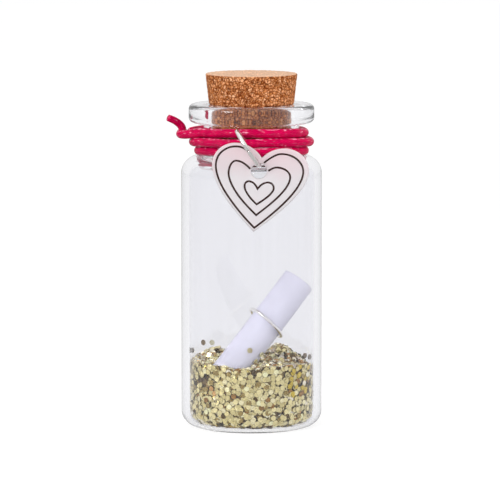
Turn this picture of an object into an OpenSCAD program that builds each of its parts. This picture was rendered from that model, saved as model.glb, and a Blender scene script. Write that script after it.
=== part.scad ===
// Corked glass gift bottle: a straight-walled vial with a rolled lip, an
// agglomerated cork, a hand-wound waxed cord with a hooked-over tail, a jump
// ring and a heart tag hung from the cord, and a paper scroll standing in
// gold hexagon glitter.
// Millimetres. The origin is the centre of the base, +Z is up and the tag
// hangs on the -Y side.

/* [Glass body] */
// Outside diameter of the body
body_d = 30; // [28:0.5:33]
// Wall thickness of the body
body_wall = 1.64; // [1.2:0.02:2]
// Thickness of the glass floor
floor_t = 1.5; // [1:0.1:2.5]
// Height from the base to the top of the shoulder
shoulder_z = 58.1; // [52:0.1:70]
// Outside radius where the base turns into the wall
heel_r = 3.3; // [2:0.1:4]
// Outside radius where the wall turns into the shoulder
shoulder_r = 4; // [3:0.1:5]

/* [Neck and lip] */
// Outside diameter of the neck
neck_d = 20.3; // [19.8:0.1:21]
// Diameter of the bore that takes the cork
bore_d = 17.2; // [16.4:0.1:17.6]
// Least wall between the bore and the neck's outside
neck_wall = 1.2; // [1:0.05:1.5]
// Height of the neck between shoulder and lip
neck_h = 6.95; // [6.7:0.05:8]
// Diameter of the lip
lip_d = 26.7; // [25:0.1:27.2]
// Height of the lip
lip_h = 3.95; // [3:0.05:5]
// Rounding of the lip's outer edges
lip_round = 1.1; // [0.6:0.1:1.4]
// Rounding of the mouth's inner edge
mouth_round = 0.8; // [0.5:0.1:1]
// Hollow fillet between the neck and the shoulder, and under the lip
neck_fillet = 0.6; // [0.3:0.1:0.8]

/* [Cork] */
// Diameter of the cork's top face
cork_top_d = 19.6; // [18.8:0.1:21]
// Height of the cork above the lip
cork_proud = 6.5; // [4:0.1:9]
// Depth of the cork below the lip's top
cork_in = 8.5; // [6:0.1:10]
// Taper of the cork's free side, as loss of radius for each mm down
cork_taper = 0.11; // [0.05:0.01:0.13]
// Clearance between the squeezed cork and the bore
cork_fit = 0.06; // [0.03:0.01:0.1]
// Broken edge round the cork's ends
cork_edge = 0.35; // [0.1:0.05:0.6]

/* [Cord] */
// Diameter of the waxed cord
cord_d = 1.8; // [1.6:0.05:1.9]
// Diameter of the tail's cut end
tail_d = 1.4; // [1.1:0.1:1.8]
// How far the middle turn bulges past the others at the sides
cord_bulge = 1.1; // [0.6:0.1:1.3]

/* [Jump ring] */
// Diameter of the ring's wire
wire_d = 0.9; // [0.7:0.05:1]
// Mean diameter of the ring
ring_d = 8.65; // [8.4:0.05:9.6]
// Width of the butt joint in the ring
ring_split = 0.12; // [0.05:0.01:0.3]
// How far behind the body's wall the back of the ring passes
ring_in = 3.4; // [3:0.05:3.5]

/* [Heart tag] */
// Half the width of the tag
tag_half_w = 10.2; // [9:0.1:11]
// Thickness of the tag
tag_t = 1.3; // [1:0.1:1.6]
// Bevel round the tag's two faces
tag_bevel = 0.3; // [0.1:0.05:0.45]
// Diameter of the hanging hole
hole_d = 3.3; // [3:0.1:3.6]
// Turn of the tag to the right as it hangs
tag_lean = 6.5; // [0:0.5:9]
// Width of the printed lines
line_w = 0.42; // [0.3:0.02:0.6]
// Height of the printed lines above the tag's face
line_h = 0.08; // [0.05:0.01:0.15]

/* [Scroll] */
// Outside diameter of the rolled paper
scroll_d = 7.65; // [7:0.05:8.2]
// Length of the roll
scroll_len = 30; // [26:0.5:36]
// Thickness of each turn of paper
paper_t = 0.32; // [0.25:0.01:0.4]
// Number of turns in the roll
paper_turns = 3.25; // [2.25:0.5:4.25]
// Wire diameter of the band on the roll
band_wire = 0.7; // [0.5:0.05:0.9]
// Distance from the roll's top end to the band
band_from_top = 11.6; // [8:0.1:14]

/* [Glitter] */
// Height of the glitter at the glass
fill_z = 13.9; // [10:0.1:18]
// Width of one hexagon flake across its corners
flake_d = 1.25; // [1:0.05:1.5]
// Thickness of one flake
flake_t = 0.14; // [0.1:0.02:0.2]
// Number of flakes that stand out of the heap's top
flake_count = 150; // [60:1:170]

/* [Hidden] */
$fn = 64;
seat = 0.05;

// Glass
body_r = body_d / 2;
inner_r = body_r - body_wall;
bore_r = bore_d / 2;
neck_r = max(neck_d / 2, bore_r + neck_wall);
lip_r = lip_d / 2;
lip_z = shoulder_z + neck_h;
mouth_z = lip_z + lip_h;
inner_top = shoulder_z - body_wall;
inner_heel = heel_r - body_wall * 0.8;
inner_shoulder = shoulder_r - body_wall * 0.8;

// Cork
cork_top_z = mouth_z + cork_proud;
cork_low_z = mouth_z - cork_in;
cork_plug_r = bore_r - cork_fit;
cork_lip_r = cork_top_d / 2 - cork_taper * cork_proud;
foot_taper = 0.02;
cork_foot_r = cork_plug_r - foot_taper * cork_in;
// The cork begins to swell this far over the lip, within this height
squeeze_over = 0.25;
squeeze_h = 0.9;
squeeze_z = mouth_z + squeeze_over;

// Cord: one strand that starts at the left, winds down through the top,
// middle and low turns, climbs back over them behind the neck, runs round
// the front once more and ends in the hooked tail
cord_r = cord_d / 2;
cord_step = 18;
cord_sides = 8;
cord_fit = 0.06;
row_gap = [0.07, 0.15];
under_lip = 0.58;
cord_snug = (neck_r + cord_fit + cord_r) / cos(cord_step / 2);
cord_low = shoulder_z + cord_r + seat;
cord_mid = cord_low + cord_d + row_gap[0];
cord_top = cord_mid + cord_d + row_gap[1];
cord_raise = lip_z - cord_top - cord_r - under_lip;
wind_from = 40;
wind_to = 1040;
jog = [70, 120];
climb = [762, 846];
// The last turn steps out over the others round the climb: angles of its
// rise and fall before and after it, and its clearance
step_over = [-30, 4, -14, 22];
over_fit = 0.2;
// Where the ring lifts the middle and the low turn: angle, and how far in
// front of the ring's back the taut line and the bend over the ring lie
lift_mid = [256, 4, 2.85];
lift_low = [275, 3.4, 2.2];
cord_start = [[-12.8, 1.3, 62.9], [-11.7, 3.3, 63], [-10.3, 5.2, 63]];
cord_end = [[-10.5, -5.1, 63.3], [-12.4, -3.2, 62.9], [-14, -1.6, 62.6], [-15, -0.1, 62.5],
            [-15.1, 1.2, 62.6], [-14.7, 2.2, 63.3], [-15.2, 2.2, 64.3], [-16.3, 1.6, 65.2],
            [-17.7, 0.9, 65.9]];
tail_rings = 8;

// Jump ring: its plane holds the Y axis and leans over to the left. Its back
// arc passes between the neck and the two lower turns of cord, and over the
// shoulder
wire_r = wire_d / 2;
ring_r = ring_d / 2;
ring_lean = 33;
// How far the back arc may reach in behind the outside of a snug turn
ring_hook = 0.44;
ring_back = max(body_r - ring_in, neck_r + cord_fit + cord_d - ring_hook);
ring_left = 0.67;
ring_rise = 0.154;
ring_c = [-ring_left, -ring_back - ring_r, (cord_low + cord_mid) / 2 + cord_raise + ring_rise];

// Heart tag: drawn about its hole, so that the hole hangs on the wire with a
// clearance all round
tag_set = 0.1;
hole_fit = 0.2;
hole_side = 0.1;
tag_back_y = ring_c.y + tag_set;
hang_off = tag_t / 2 - tag_set;
hang_s = sqrt(pow(ring_r, 2) - pow(hang_off, 2));
wire_at_tag = [ring_c.x + hang_s * sin(ring_lean), ring_c.z - hang_s * cos(ring_lean)];
hole_r = hole_d / 2;
hole_c = [wire_at_tag.x - hole_side, wire_at_tag.y - (hole_r - wire_r - hole_fit)];
curve_steps = 8;
line_stop = 0.15;

// Scroll: it stands in the glitter and leans across the bottle
scroll_r = scroll_d / 2;
scroll_az = 20.6;
scroll_share = 0.93;
wall_fit = 0.25;
scroll_mid = [1.05, -2.5];
scroll_lift = 4.3;
scroll_run = 2 * inner_r - scroll_share * scroll_d - wall_fit;
scroll_el = acos(scroll_run / scroll_len);
scroll_dir = [cos(scroll_el) * cos(scroll_az), cos(scroll_el) * sin(scroll_az), sin(scroll_el)];
scroll_low = [scroll_mid.x - scroll_run / 2 * cos(scroll_az), scroll_mid.y - scroll_run / 2 * sin(scroll_az),
              floor_t + scroll_lift + scroll_r * cos(scroll_el)];
band_fit = 0.1;
band_r = scroll_r + band_fit + band_wire / 2;
band_tilt = 5;
paper_gap = 0.28;
// Turn that brings the paper's outer edge below and behind the roll
seam_turn = -30;

// Glitter: a heap with a mound on each side of the scroll
heap_r = inner_r - seat * 2;
heap_floor = floor_t + seat;
heap_rings = 11;
heap_sides = 44;
// Each mound: x, y, height, spread
mounds = [[-7.9, 3.2, 2.4, 4.2], [6.2, 5, 2.8, 5], [-5, 9, 0.6, 4], [12.5, 1, -1.9, 9], [-2, -10, -0.9, 6]];
flake_seed = 11;
// Stray flakes on the glass: angle, height over the glitter, turn
glass_flakes = [[223, 5.2, 10], [233, 5.4, 25], [200.5, 2.9, 70], [207, 3.1, 40],
                [324, 2.2, 80], [331.5, 1.7, 15]];
// Stray flakes on the scroll: height over the glitter, angle round the roll,
// turn
scroll_flakes = [[3.2, -98, 10], [0.67, -54, 35], [2.07, -52, 50]];
flake_fit = 0.02;

// A smooth step from 0 to 1 between lo and hi, and a vector's direction
function ease(x, lo, hi) = let (t = min(1, max(0, (x - lo) / (hi - lo)))) t * t * (3 - 2 * t);
function unit(v) = v / norm(v);

// A filled rectangle from the axis outwards, with its lower and upper
// outer corners rounded
module turned_block(r, z0, z1, low_round, high_round) {
    square_r = r - max(low_round, high_round);
    translate([0, z0]) square([square_r, z1 - z0]);
    translate([0, z0 + low_round]) square([r, z1 - z0 - low_round - high_round]);
    translate([r - low_round, z0 + low_round]) circle(low_round);
    translate([r - high_round, z1 - high_round]) circle(high_round);
    translate([0, z0]) square([r - low_round, low_round]);
    translate([0, z1 - high_round]) square([r - high_round, high_round]);
}

// A hollow fillet in the corner at the given point, opening to the right
// and up or down
module hollow_corner(at, r, up) {
    translate([at.x, up ? at.y : at.y - r]) difference() {
        square([r, r]);
        translate([r, up ? r : 0]) circle(r);
    }
}

module glass_outline() {
    turned_block(body_r, 0, shoulder_z, heel_r, shoulder_r);
    square([neck_r, mouth_z - lip_round]);
    turned_block(lip_r, lip_z, mouth_z, lip_round, lip_round);
    hollow_corner([neck_r, shoulder_z], neck_fillet, true);
    hollow_corner([neck_r, lip_z], neck_fillet, false);
}

module glass_hollow() {
    turned_block(inner_r, floor_t, inner_top, inner_heel, inner_shoulder);
    translate([0, floor_t + inner_heel]) square([bore_r, mouth_z]);
    hollow_corner([bore_r, mouth_z], mouth_round, false);
    hollow_corner([bore_r, inner_top], mouth_round, true);
}

module glass_bottle() {
    color([0.86, 0.9, 0.92, 0.35]) rotate_extrude() difference() {
        glass_outline();
        glass_hollow();
    }
}

// The cork narrows to the lip, is squeezed in at the mouth and fills the bore
module cork_stopper() {
    top_r = cork_top_d / 2;
    color("peru") rotate_extrude() polygon([
        [0, cork_low_z],
        [cork_foot_r - cork_edge, cork_low_z],
        [cork_foot_r, cork_low_z + cork_edge],
        [cork_plug_r, squeeze_z - squeeze_h - mouth_round],
        [min(cork_plug_r, cork_lip_r), squeeze_z - squeeze_h],
        [cork_lip_r, squeeze_z],
        [top_r - cork_edge * cork_taper, cork_top_z - cork_edge],
        [top_r - cork_edge, cork_top_z],
        [0, cork_top_z]]);
}

// How much of the top, middle and low turn holds at winding angle u
function cord_share(u) =
    let (first = ease(u, jog[0], jog[1]),
         second = ease(u, jog[0] + 360, jog[1] + 360),
         back_up = ease(u, climb[0], climb[1]))
    [1 - first + back_up, first - second, second - back_up];

// Extra radius where the ring lifts a taut turn off the neck, at angle a
function lifted(a, lift) =
    let (off = abs((a - lift[0] + 1620) % 360 - 180), reach = acos(cord_snug / (ring_back + lift[1])))
    off < reach ? min(ring_back + lift[2], cord_snug / cos(reach - off)) - cord_snug : 0;

function cord_point(u) =
    let (a = 180 - u,
         w = cord_share(u),
         z = w * [cord_top, cord_mid, cord_low] + cord_raise * max(0, -sin(a)),
         over = ease(u, climb[0] + step_over[0], climb[0] + step_over[1])
                * (1 - ease(u, climb[1] + step_over[2], climb[1] + step_over[3])),
         r = cord_snug + cord_bulge * w[1] * pow(cos(a), 2)
             + w[1] * lifted(a, lift_mid) + w[2] * lifted(a, lift_low) + over * (cord_d + over_fit))
    [r * cos(a), r * sin(a), z];

// Points on a smooth curve through a hand-set list
function smooth(p, k) = [for (i = [0:len(p) - 2]) for (j = [0:k - 1])
    let (t = j / k, a = p[max(0, i - 1)], b = p[i], c = p[i + 1], d = p[min(len(p) - 1, i + 2)])
    0.5 * (2 * b + (c - a) * t + (2 * a - 5 * b + 4 * c - d) * t * t
           + (3 * b - a - 3 * c + d) * t * t * t)];

wind_steps = round((wind_to - wind_from) / cord_step);
wound = [for (i = [0:wind_steps]) cord_point(wind_from + (wind_to - wind_from) * i / wind_steps)];
route_in = smooth(concat(cord_start, [wound[0]]), 2);
route_out = smooth(concat([wound[wind_steps]], cord_end), 2);
route = concat(route_in, wound, [for (i = [1:len(route_out) - 1]) route_out[i]],
               [cord_end[len(cord_end) - 1]]);

// A closed tube along a route, thinner towards its last rings
module tube(p, sides, r_full, r_last, fade) {
    n = len(p);
    dir = [for (i = [0:n - 1]) unit(p[min(n - 1, i + 1)] - p[max(0, i - 1)])];
    points = [for (i = [0:n - 1])
        let (side = unit(cross([0, 0, 1], dir[i])),
             up = cross(dir[i], side),
             late = max(0, i - (n - 1 - fade)) / fade,
             r = r_full + (r_last - r_full) * late)
        for (k = [0:sides - 1])
            p[i] + r * (cos((k + 0.5) * 360 / sides) * side + sin((k + 0.5) * 360 / sides) * up)];
    walls = [for (i = [0:n - 2]) for (k = [0:sides - 1])
        let (a = i * sides + k, b = i * sides + (k + 1) % sides)
        each [[a, a + sides, b + sides], [a, b + sides, b]]];
    low_cap = [for (k = [0:sides - 1]) k];
    high_cap = [for (k = [sides - 1:-1:0]) (n - 1) * sides + k];
    polyhedron(points, concat([low_cap, high_cap], walls));
}

module neck_cord() {
    color("crimson") tube(route, cord_sides, cord_r, tail_d / 2, tail_rings);
}

// The ring is turned about its own axis, with the butt joint at the front
module jump_ring() {
    gap = ring_split / ring_r * 180 / PI;
    color("silver") translate(ring_c) rotate([0, 90 - ring_lean, 0])
        rotate([0, 0, -90 + gap / 2])
            rotate_extrude(angle = 360 - gap) translate([ring_r, 0]) circle(wire_r);
}

// One cubic curve, without its last point
function curve(a, b, c, d, steps) = [for (i = [0:steps - 1])
    let (t = i / steps, s = 1 - t)
    a * s * s * s + 3 * b * s * s * t + 3 * c * s * t * t + d * t * t * t];

// One side of a heart from the notch down to the tip: half width and height
// of its widest place, x and height of its lobe's top
function heart_side(w, wide, lobe, top, notch, tip, arm) =
    let (reach = lobe - notch.x, rise = top - notch.y, fall = tip.y - wide)
    concat(
        curve(notch, notch + [reach * arm.x, rise * arm.y], [notch.x + reach * 0.62, top], [lobe, top],
              curve_steps),
        curve([lobe, top], [lobe + (w - lobe) * 0.56, top], [w, wide + (top - wide) * 0.57], [w, wide],
              curve_steps),
        curve([w, wide], [w, wide + fall * 0.3], [w * 0.47, wide + fall * 0.7], tip, curve_steps));

// A heart from its right and its left side, each as half width, height of
// the widest place, distance of the lobe's top and height of the lobe's top
function heart(right, left, notch, tip, arm) =
    let (a = heart_side(right[0], right[1], right[2], right[3], notch, tip, arm),
         b = heart_side(-left[0], left[1], -left[2], left[3], notch, tip, arm))
    tag_scale * concat(a, [tip], [for (i = [len(b) - 1:-1:1]) b[i]]);

// The same outline drawn in by d, square to its own line
function inset(p, d) = let (n = len(p)) [for (i = [0:n - 1])
    let (a = unit(p[i] - p[(i + n - 1) % n]),
         b = unit(p[(i + 1) % n] - p[i]),
         m = unit([a.y + b.y, -a.x - b.x]),
         stretch = max(0.55, m * [a.y, -a.x]))
    p[i] + m * d / stretch];

// The hearts, measured from the centre of the hole
tag_scale = tag_half_w / 10.2;
tag_outline = heart([10.4, 0.7, 5.3, 5.3], [9.9, 0.7, 4.9, 5.35], [0.3, 2.7], [0.3, -12.8], [0.2, 0.6]);
outer_line = heart([9.2, 0.6, 4.75, 4.15], [9.1, 0.7, 4.85, 4.65], [0.2, 1.2], [0.36, -11.9], [0.3, 0.48]);
middle_line = heart([6.62, -0.7, 3.9, 1.22], [6.28, -0.7, 4.9, 1.68], [0.17, -1.4], [0.45, -9.2],
                    [0.4, 0.5]);
small_line = heart([3.45, -3.3, 2.25, -2.12], [2.65, -3.25, 1.75, -2.3], [0.12, -3.7], [0.3, -6.95],
                   [0.25, 0.6]);

// Stands a flat drawing up at the tag's place, with its front at y = 0
module hang_on_wire() {
    translate([hole_c.x, 0, hole_c.y]) rotate([0, tag_lean, 0]) rotate([90, 0, 0]) children();
}

// The tag's slab between two bevels, as a stack of outlines
module tag_slab() {
    n = len(tag_outline);
    drawn_in = inset(tag_outline, tag_bevel);
    layers = [[drawn_in, 0], [tag_outline, tag_bevel], [tag_outline, tag_t - tag_bevel],
              [drawn_in, tag_t]];
    points = [for (l = layers) for (q = l[0]) [q.x, q.y, l[1]]];
    walls = [for (i = [0:2]) for (k = [0:n - 1])
        let (a = i * n + k, b = i * n + (k + 1) % n)
        each [[a, a + n, b + n], [a, b + n, b]]];
    polyhedron(points, concat([[for (k = [0:n - 1]) k], [for (k = [n - 1:-1:0]) 3 * n + k]], walls));
}

module heart_tag() {
    color("lavenderblush") translate([0, tag_back_y, 0]) hang_on_wire() difference() {
        tag_slab();
        translate([0, 0, -1]) cylinder(r = hole_r, h = tag_t + 2);
    }
}

module stroke(p) {
    difference() {
        polygon(inset(p, -line_w / 2));
        polygon(inset(p, line_w / 2));
    }
}

// A printed heart that stops short of the hole
module printed_heart(p) {
    translate([0, tag_back_y - tag_t, 0]) hang_on_wire() difference() {
        linear_extrude(line_h) stroke(p);
        translate([0, 0, -1]) cylinder(r = hole_r + line_stop, h = line_h + 2);
    }
}

// Three hearts one inside the other
module heart_lines() {
    color("saddlebrown") {
        printed_heart(outer_line);
        printed_heart(middle_line);
        printed_heart(small_line);
    }
}

// Moves its children to the roll's low end, with +Z along the roll
module along_scroll() {
    translate(scroll_low) rotate([0, 90 - scroll_el, scroll_az]) children();
}

module scroll() {
    pitch = paper_t + paper_gap;
    steps = round(paper_turns * 20);
    spiral = [for (i = [0:steps])
        let (a = i / steps * paper_turns * 360, r = scroll_r - pitch * (paper_turns - i / 20))
        [a, r]];
    outer = [for (q = spiral) q[1] * [cos(q[0]), sin(q[0])]];
    inner = [for (i = [steps:-1:0]) (spiral[i][1] - paper_t) * [cos(spiral[i][0]), sin(spiral[i][0])]];
    color("white") along_scroll() linear_extrude(scroll_len) rotate(seam_turn) polygon(concat(outer, inner));
}

module scroll_ring() {
    color("silver") along_scroll() translate([0, 0, scroll_len - band_from_top])
        rotate([0, band_tilt, 0]) rotate_extrude() translate([band_r, 0]) circle(band_wire / 2);
}

// Height of the glitter's surface over the point x, y
function heap_top(x, y) = fill_z + sum([for (m = mounds)
    m[2] * exp(-(pow(x - m[0], 2) + pow(y - m[1], 2)) / (2 * m[3]))]);
function sum(v, i = 0) = i < len(v) ? v[i] + sum(v, i + 1) : 0;

// The heap: an uneven top over a side that follows the glass
module heap() {
    bend = inner_heel - seat;
    side = [for (a = [0:30:90]) [heap_r - bend + bend * sin(a), heap_floor + bend - bend * cos(a)]];
    floor_n = len(side);
    turn = [for (k = [0:heap_sides - 1]) 360 / heap_sides * k];
    points = concat(
        [for (q = side) for (a = turn) [q[0] * cos(a), q[0] * sin(a), q[1]]],
        [for (i = [heap_rings:-1:1]) for (a = turn)
            let (r = heap_r * i / heap_rings) [r * cos(a), r * sin(a), heap_top(r * cos(a), r * sin(a))]],
        [[0, 0, heap_top(0, 0)]]);
    rings = floor_n + heap_rings;
    walls = [for (i = [0:rings - 2]) for (k = [0:heap_sides - 1])
        let (a = i * heap_sides + k, b = i * heap_sides + (k + 1) % heap_sides)
        each [[a, a + heap_sides, b + heap_sides], [a, b + heap_sides, b]]];
    crown = [for (k = [0:heap_sides - 1])
        [(rings - 1) * heap_sides + k, rings * heap_sides, (rings - 1) * heap_sides + (k + 1) % heap_sides]];
    polyhedron(points, concat([[for (k = [0:heap_sides - 1]) k]], walls, crown));
}

module flake() {
    cylinder(d = flake_d, h = flake_t, center = true, $fn = 6);
}

// Distance of a point from the roll's axis
function off_scroll(p) = norm(cross(p - scroll_low, scroll_dir));

// How far up the roll stray flake f lies, and where that is
function up_scroll(f) =
    (fill_z + f[0] - scroll_low.z + (scroll_r + seat) * cos(scroll_el) * cos(f[1])) / scroll_dir.z;
function on_scroll(f) =
    let (side = [scroll_dir.z * cos(scroll_az), scroll_dir.z * sin(scroll_az), -cos(scroll_el)],
         over = [-sin(scroll_az), cos(scroll_az), 0])
    scroll_low + scroll_dir * up_scroll(f) + (scroll_r + seat) * (side * cos(f[1]) + over * sin(f[1]));

// Flakes spread evenly over the top by the golden angle, each with its own
// tilt, and none where the scroll or a stray flake is
module top_flakes() {
    golden = 137.508;
    tilts = rands(12, 55, flake_count, flake_seed);
    turns = rands(0, 360, flake_count, flake_seed + 1);
    shares = rands(-0.5, 0.3, flake_count, flake_seed + 2);
    for (i = [0:flake_count - 1])
        let (r = (heap_r - flake_d) * sqrt((i + 0.5) / flake_count), a = i * golden,
             lift = shares[i] * flake_d / 2 * sin(tilts[i]) - seat,
             at = [r * cos(a), r * sin(a), heap_top(r * cos(a), r * sin(a)) + lift],
             nearest = min([for (f = scroll_flakes) norm(at - on_scroll(f))]))
        if (off_scroll(at) > scroll_r + flake_d * 0.7 && nearest > flake_d + flake_t)
            translate(at) rotate([tilts[i], 0, turns[i]]) hull() flake();
}

module glitter() {
    color("darkkhaki") difference() {
        union() {
            heap();
            top_flakes();
        }
        along_scroll() translate([0, 0, -seat]) cylinder(r = scroll_r + seat, h = scroll_len + 1);
    }
}

module stray_flakes() {
    color("darkkhaki") {
        for (f = glass_flakes)
            rotate([0, 0, f[0]]) translate([inner_r - seat - flake_t / 2 - flake_fit, 0, fill_z + f[1]])
                rotate([0, 90, 0]) rotate([0, 0, f[2]]) flake();
        for (f = scroll_flakes)
            along_scroll() translate([0, 0, up_scroll(f)]) rotate([0, 0, f[1]])
                translate([scroll_r + seat + flake_t / 2, 0, 0]) rotate([0, 90, 0])
                    rotate([0, 0, f[2]]) flake();
    }
}

glass_bottle();
cork_stopper();
neck_cord();
jump_ring();
heart_tag();
heart_lines();
scroll();
scroll_ring();
glitter();
stray_flakes();
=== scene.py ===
"""Looks of a corked glass gift bottle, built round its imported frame.

Each operator makes one piece, or one group of like pieces, at the place and
size that the frame gives it. Lengths in the settings are in millimetres
unless their unit says otherwise, and the frame's own unit is the metre.
"""

import math
import random

import bmesh
import bpy
import numpy as np
from bpy.props import FloatProperty, FloatVectorProperty, IntProperty
from mathutils import Matrix, Vector, noise


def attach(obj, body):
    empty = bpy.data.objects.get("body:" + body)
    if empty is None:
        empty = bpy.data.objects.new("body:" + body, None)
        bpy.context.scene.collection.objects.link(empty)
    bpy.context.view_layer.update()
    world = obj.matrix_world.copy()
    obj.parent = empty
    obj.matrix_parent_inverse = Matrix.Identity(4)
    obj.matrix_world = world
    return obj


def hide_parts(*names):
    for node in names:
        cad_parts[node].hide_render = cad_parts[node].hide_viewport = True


bl_info = {
    "name": "Corked glass bottle",
    "version": (1, 0, 0),
    "blender": (4, 5, 0),
    "location": "3D View > Sidebar > Bottle",
    "description": "Glass, cork, cord, charm, scroll and glitter of a corked gift bottle",
    "category": "Add Mesh",
}

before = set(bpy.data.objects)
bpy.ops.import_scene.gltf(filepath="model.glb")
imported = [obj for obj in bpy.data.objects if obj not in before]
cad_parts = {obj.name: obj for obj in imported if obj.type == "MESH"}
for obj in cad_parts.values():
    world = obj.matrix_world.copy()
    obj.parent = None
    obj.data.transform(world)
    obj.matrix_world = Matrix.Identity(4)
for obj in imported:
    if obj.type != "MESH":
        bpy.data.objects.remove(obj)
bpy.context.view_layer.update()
MM = 0.001

# Sizes of the solids, in millimetres, as the frame has them
BODY_R = 15.0
WALL = 1.64
FLOOR = 1.5
# The floor is drawn thinner, so that the flakes show right above the base
FLOOR_SEEN = 1.0
SHOULDER_Z = 58.1
NECK_R = 10.15
BORE_R = 8.6
LIP_Z = 65.05
MOUTH_Z = 69.0
LIP_R = 13.35
INNER_R = BODY_R - WALL
CORK_TOP_Z = 75.5
CORK_TOP_R = 9.8
CORK_LIP_R = 9.085
CORK_PLUG_R = 8.54
CORK_FOOT_R = 8.37
CORK_FOOT_Z = 60.5
CORD_R = 0.9
WIRE_R = 0.45
RING_R = 4.325
RING_BACK = 11.6
RING_LEAN = math.radians(33)
TAG_T = 1.3
SCROLL_R = 3.825
SCROLL_LEN = 30.0


def linear(code):
    """An sRGB hex colour as the linear values that a shader takes."""
    values = [int(code[i:i + 2], 16) / 255 for i in (1, 3, 5)]
    return tuple(v / 12.92 if v <= 0.04045 else ((v + 0.055) / 1.055) ** 2.4 for v in values)


def add_node(tree, kind, inputs=None, links=None, stops=None, **settings):
    """Adds a node with its settings, input values, links and colour stops."""
    node = tree.nodes.new(kind)
    for key, value in settings.items():
        setattr(node, key, value)
    for key, value in (inputs or {}).items():
        node.inputs[key].default_value = value
    for key, source in (links or {}).items():
        tree.links.new(source, node.inputs[key])
    if stops:
        ramp = node.color_ramp
        while len(ramp.elements) < len(stops):
            ramp.elements.new(0.5)
        for element, (place, code) in zip(ramp.elements, stops):
            element.position = place
            element.color = (*linear(code), 1) if isinstance(code, str) else (code, code, code, 1)
    return node


def new_material(name, **inputs):
    """A material with one Principled shader, whose even values are given here."""
    material = bpy.data.materials.new(name)
    material.use_nodes = True
    shader = material.node_tree.nodes["Principled BSDF"]
    for key, value in inputs.items():
        socket = shader.inputs[key.replace("_", " ")]
        socket.default_value = (*value, 1) if socket.type == "RGBA" else value
    return material, material.node_tree, shader


def spots(tree, place, size, detail, **more):
    """Noise whose spots have the given size in millimetres."""
    return add_node(tree, "ShaderNodeTexNoise", {"Scale": 1 / (size * MM), "Detail": detail, **more},
                    {"Vector": place})


def two_tones(tree, base, low, high, factor):
    """A colour that wanders between a darker and a lighter shade of its base."""
    shades = {"A": (*[c * low for c in base], 1), "B": (*[min(1, c * high) for c in base], 1)}
    return add_node(tree, "ShaderNodeMix", shades, {"Factor": factor}, data_type="RGBA").outputs["Result"]


def bump(tree, height, strength, depth, over=None):
    """Relief of the given depth in millimetres, on top of another bump where one is given."""
    links = {"Height": height, "Normal": over} if over else {"Height": height}
    node = add_node(tree, "ShaderNodeBump", {"Strength": strength, "Distance": depth * MM}, links)
    return node.outputs["Normal"]


def new_piece(name, verts, faces, material, body, stands_for=(), smooth=True, uv=None,
              layer_name="strand"):
    """A mesh in millimetres becomes a piece that rides on a body of the frame."""
    mesh = bpy.data.meshes.new(name)
    mesh.from_pydata([tuple(c * MM for c in v) for v in verts], [], faces)
    if uv is not None:
        layer = mesh.uv_layers.new(name=layer_name)
        loops = np.empty(len(mesh.loops), dtype=np.int32)
        mesh.loops.foreach_get("vertex_index", loops)
        layer.data.foreach_set("uv", np.asarray(uv, dtype=np.float32)[loops].ravel())
    work = bmesh.new()
    work.from_mesh(mesh)
    bmesh.ops.recalc_face_normals(work, faces=work.faces)
    work.to_mesh(mesh)
    work.free()
    if smooth:
        mesh.shade_smooth()
    mesh.materials.append(material)
    piece = bpy.data.objects.new(name, mesh)
    bpy.context.scene.collection.objects.link(piece)
    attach(piece, body)
    if stands_for:
        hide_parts(*stands_for)
    return piece


def arc(cx, cz, r, start, end, steps):
    """Points of an arc from one angle to another, in degrees."""
    turns = [math.radians(start + (end - start) * i / steps) for i in range(steps + 1)]
    return [(cx + r * math.cos(a), cz + r * math.sin(a)) for a in turns]


def revolve(profile, segments, shape=None):
    """Turns an open profile of (r, z), pole to pole, about the Z axis."""
    verts, rings = [], []
    for i, (r, z) in enumerate(profile):
        if r == 0:
            rings.append([len(verts)] * segments)
            verts.append((0, 0, z))
            continue
        rings.append(range(len(verts), len(verts) + segments))
        for k in range(segments):
            a = 2 * math.pi * k / segments
            rr, zz = shape(i, r, z, a) if shape else (r, z)
            verts.append((rr * math.cos(a), rr * math.sin(a), zz))
    faces = []
    for low, high in zip(rings, rings[1:]):
        for k in range(segments):
            n = (k + 1) % segments
            face = [low[k], low[n], high[n], high[k]]
            faces.append([v for j, v in enumerate(face) if v != face[j - 1]])
    return verts, faces


def spread(points, longest):
    """Adds points to a profile so that no step is longer than given."""
    out = [points[0]]
    for a, b in zip(points, points[1:]):
        parts = max(1, math.ceil(math.dist(a, b) / longest))
        out += [tuple(p + (q - p) * i / parts for p, q in zip(a, b)) for i in range(1, parts + 1)]
    return out


def sweep(route, sides, radius, closed=False):
    """A tube along a route, and its surface places as (turn, distance)."""
    route = np.asarray(route, dtype=float)
    n = len(route)
    if closed:
        along = np.roll(route, -1, 0) - np.roll(route, 1, 0)
    else:
        along = np.gradient(route, axis=0)
    along /= np.linalg.norm(along, axis=1)[:, None]
    side = np.cross([0, 0, 1], along)
    side /= np.linalg.norm(side, axis=1)[:, None]
    up = np.cross(along, side)
    run = np.concatenate([[0], np.cumsum(np.linalg.norm(np.diff(route, axis=0), axis=1))])
    verts, uv = [], []
    for i in range(n):
        for k in range(sides):
            a = 2 * math.pi * k / sides
            r = radius(run[i], a)
            verts.append(tuple(route[i] + r * (math.cos(a) * side[i] + math.sin(a) * up[i])))
            uv.append((k / sides, run[i]))
    faces = []
    for i in range(n if closed else n - 1):
        j = (i + 1) % n
        for k in range(sides):
            m = (k + 1) % sides
            faces.append([i * sides + k, i * sides + m, j * sides + m, j * sides + k])
    if not closed:
        faces.append(list(range(sides))[::-1])
        faces.append([(n - 1) * sides + k for k in range(sides)])
    return verts, faces, uv


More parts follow.
